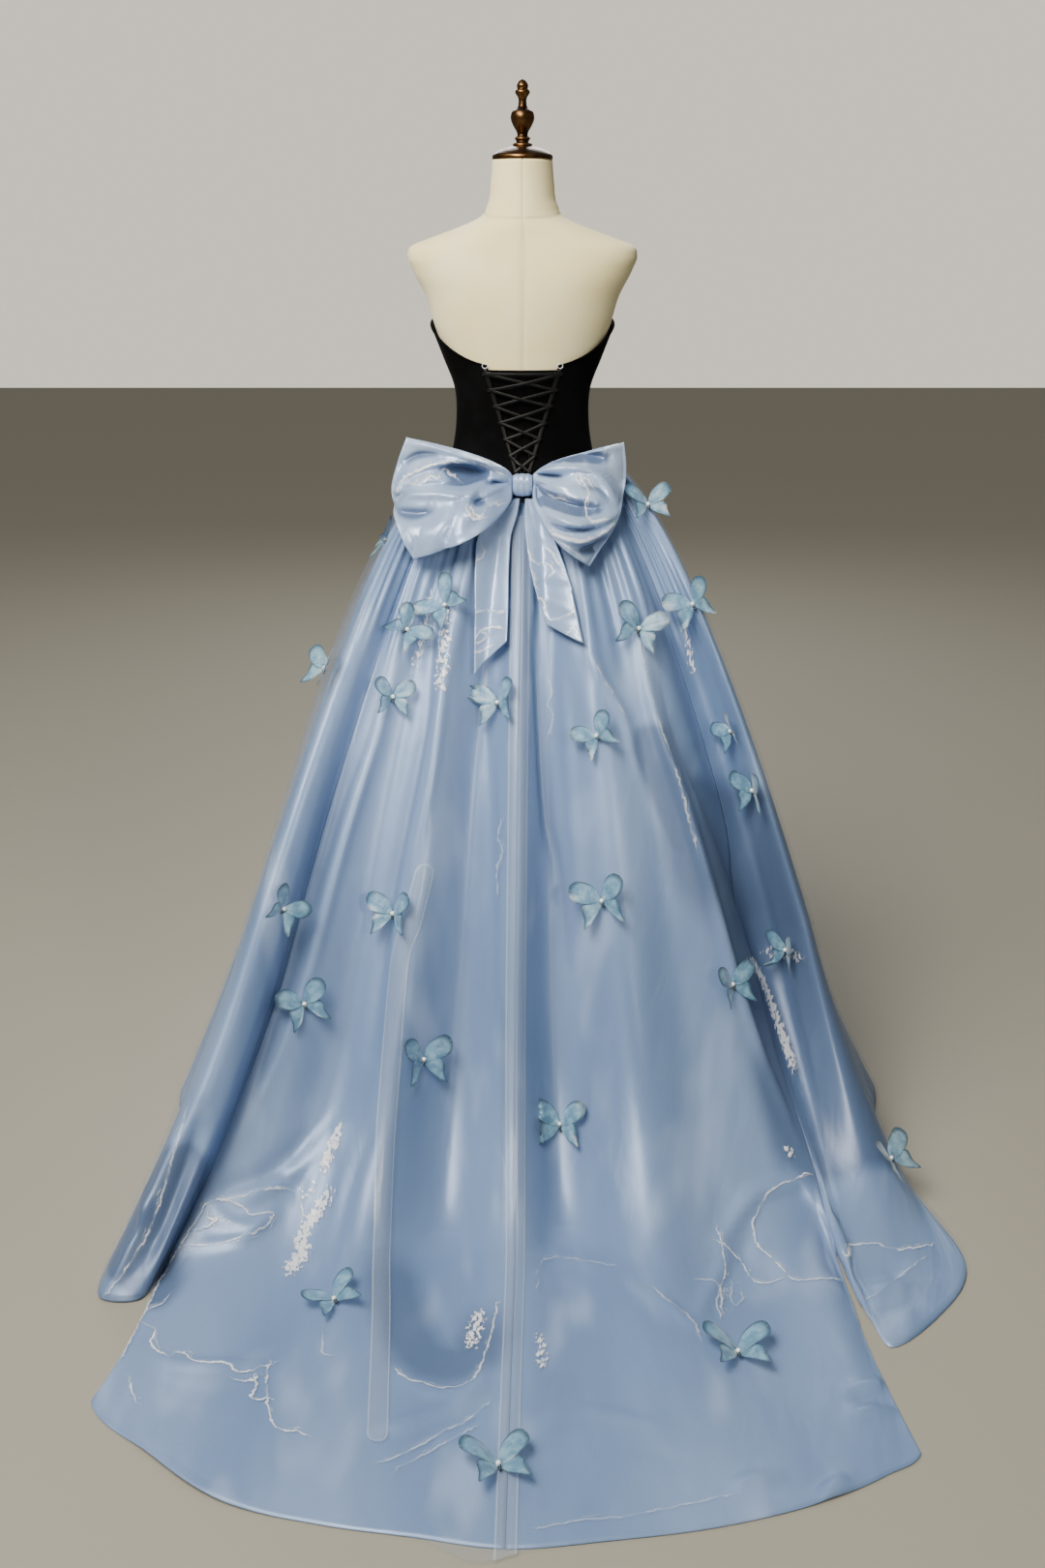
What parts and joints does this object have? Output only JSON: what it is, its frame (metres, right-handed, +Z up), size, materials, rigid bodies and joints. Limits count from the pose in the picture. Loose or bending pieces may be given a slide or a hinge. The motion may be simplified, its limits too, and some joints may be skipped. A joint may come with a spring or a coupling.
{
  "type": "ball gown on a dress form",
  "caption": "Strapless ball gown with velvet bodice, laced back, big bow, sheer overskirt with butterflies and a train, standing on its limbless dress form.",
  "frame": {"origin": "on the floor, at the middle of the underside of the stand's round base", "axes": "+Z up, the gown's front to +Y, its back and train to -Y, +X to the right as seen from behind"},
  "size_m": [1.2757, 1.8367, 1.67],
  "materials": {
    "satin": "glossy",
    "organza": "sheer, satin gloss",
    "velvet": "matt pile",
    "ribbon": "satin",
    "wing_organza": "sheer",
    "jersey": "matt",
    "bronze": "aged, turned",
    "steel": "satin"
  },
  "bodies": {
    "root": {"bodice_back_left": "velvet", "bodice_back_right": "velvet", "bodice_front": "velvet", "bow_knot": "satin", "bow_loop_left": "satin", "bow_loop_right": "satin", "bow_tail_left": "satin", "bow_tail_right": "satin", "butterfly_01": "wing_organza", "butterfly_02": "wing_organza", "butterfly_03": "wing_organza", "butterfly_04": "wing_organza", "butterfly_05": "wing_organza", "butterfly_06": "wing_organza", "butterfly_07": "wing_organza", "butterfly_08": "wing_organza", "butterfly_09": "wing_organza", "butterfly_10": "wing_organza", "butterfly_11": "wing_organza", "butterfly_12": "wing_organza", "butterfly_13": "wing_organza", "butterfly_14": "wing_organza", "butterfly_15": "wing_organza", "butterfly_16": "wing_organza", "butterfly_17": "wing_organza", "butterfly_18": "wing_organza", "butterfly_19": "wing_organza", "butterfly_20": "wing_organza", "butterfly_21": "wing_organza", "butterfly_22": "wing_organza", "butterfly_23": "wing_organza", "butterfly_24": "wing_organza", "butterfly_25": "wing_organza", "butterfly_26": "wing_organza", "butterfly_27": "wing_organza", "butterfly_28": "wing_organza", "butterfly_29": "wing_organza", "butterfly_30": "wing_organza", "finial": "bronze", "form_torso": "jersey", "lacing": "ribbon", "loop_strip_left": "ribbon", "loop_strip_right": "ribbon", "modesty_panel": "velvet", "neck_cap": "bronze", "overskirt_left": "organza", "overskirt_right": "organza", "skirt_back_left": "satin", "skirt_back_right": "satin", "skirt_front": "satin", "skirt_side_left": "satin", "skirt_side_right": "satin", "stand_base": "steel", "stand_pole": "steel"}
  },
  "joints": []
}
